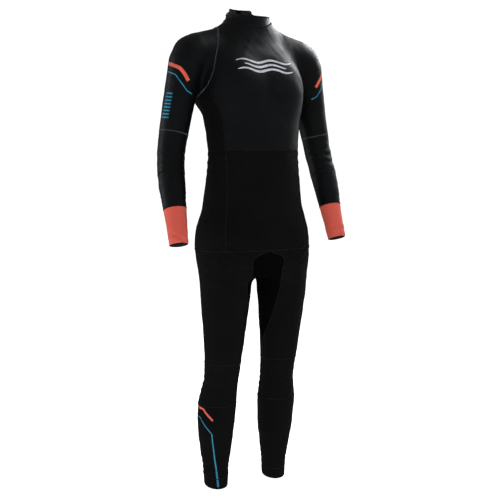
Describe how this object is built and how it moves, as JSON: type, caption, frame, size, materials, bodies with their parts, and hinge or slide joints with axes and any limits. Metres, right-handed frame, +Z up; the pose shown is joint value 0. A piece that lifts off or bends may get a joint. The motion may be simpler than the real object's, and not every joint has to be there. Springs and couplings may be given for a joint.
{
  "type": "full wetsuit",
  "caption": "Full-length back-zip neoprene swimming wetsuit with long sleeves, orange cuffs, low collar and crotch gusset, filled out as if worn.",
  "frame": {"origin": "point between the shoulder tops at the height where a wearer's or hanger's shoulders carry the suit", "axes": "+Z up towards the collar, -Y towards the front of the suit, +X towards the wearer's left"},
  "size_m": [0.586, 0.2378, 1.4412],
  "materials": {
    "smooth_neoprene": "smooth skin, soft sheen",
    "lined_neoprene": "matte knitted jersey over foam",
    "gusset_neoprene": "very matte stretch jersey",
    "orange_neoprene": "matte coral orange jersey",
    "zip_tape": "woven tape",
    "zip_coil": "satin nylon coil",
    "metal": "satin dark metal",
    "loop_fabric": "brushed loop pile"
  },
  "bodies": {
    "trunk": {"chest_panel": "smooth_neoprene", "abdomen_panel": "lined_neoprene", "seat_panel": "lined_neoprene", "back_panel_left": "smooth_neoprene", "back_panel_right": "smooth_neoprene", "side_panel_left": "lined_neoprene", "side_panel_right": "lined_neoprene", "raglan_sleeve_left": "smooth_neoprene", "raglan_sleeve_right": "smooth_neoprene", "elbow_panel_left": "smooth_neoprene", "elbow_panel_right": "smooth_neoprene", "thigh_panel_left": "lined_neoprene", "thigh_panel_right": "lined_neoprene", "knee_panel_left": "lined_neoprene", "knee_panel_right": "lined_neoprene", "crotch_gusset": "gusset_neoprene", "collar": "smooth_neoprene", "zip_tape_left": "zip_tape", "zip_tape_right": "zip_tape", "zip_coil_left": "zip_coil", "zip_coil_right": "zip_coil", "zip_backing_flap": "lined_neoprene", "zip_bottom_stop": "metal", "zip_top_stop_left": "metal", "zip_top_stop_right": "metal", "collar_flap_base": "smooth_neoprene", "collar_loop_pad": "loop_fabric"},
    "forearm_left": {"forearm_panel_left": "smooth_neoprene", "cuff_left": "orange_neoprene"},
    "shank_left": {"shin_panel_left": "lined_neoprene", "calf_panel_left": "lined_neoprene", "ankle_hem_left": "lined_neoprene"},
    "forearm_right": {"forearm_panel_right": "smooth_neoprene", "cuff_right": "orange_neoprene"},
    "shank_right": {"shin_panel_right": "lined_neoprene", "calf_panel_right": "lined_neoprene", "ankle_hem_right": "lined_neoprene"},
    "slider": {"zip_slider": "metal"},
    "puller": {"zip_puller": "metal"},
    "flap": {"collar_flap": "smooth_neoprene"}
  },
  "joints": [
    {"name": "elbow_left", "type": "hinge", "parent": "trunk", "child": "forearm_left", "pos_m": [0.246, 0.013, -0.33], "axis": [-1, 0, 0], "range_deg": [0, 80], "stiffness_Nm_per_rad": 0.8, "deforming": ["elbow_panel_left"]},
    {"name": "knee_left", "type": "hinge", "parent": "trunk", "child": "shank_left", "pos_m": [0.095, 0.006, -1.01], "axis": [1, 0, 0], "range_deg": [0, 75], "stiffness_Nm_per_rad": 1.5, "deforming": ["knee_panel_left"]},
    {"name": "elbow_right", "type": "hinge", "parent": "trunk", "child": "forearm_right", "pos_m": [-0.246, 0.013, -0.33], "axis": [-1, 0, 0], "range_deg": [0, 80], "stiffness_Nm_per_rad": 0.8, "deforming": ["elbow_panel_right"]},
    {"name": "knee_right", "type": "hinge", "parent": "trunk", "child": "shank_right", "pos_m": [-0.095, 0.006, -1.01], "axis": [1, 0, 0], "range_deg": [0, 75], "stiffness_Nm_per_rad": 1.5, "deforming": ["knee_panel_right"]},
    {"name": "zip_slide", "type": "slide", "parent": "trunk", "child": "slider", "axis": [0, 0.2481, -0.9687], "range_m": [0, 0.076]},
    {"name": "puller_lift", "type": "hinge", "parent": "slider", "child": "puller", "pos_m": [0, 0.08402, 0.02307], "axis": [1, 0, 0], "range_deg": [0, 100]},
    {"name": "flap_open", "type": "hinge", "parent": "trunk", "child": "flap", "pos_m": [-0.01865, 0.08184, 0.075], "axis": [0, 0, 1], "range_deg": [0, 90]}
  ]
}
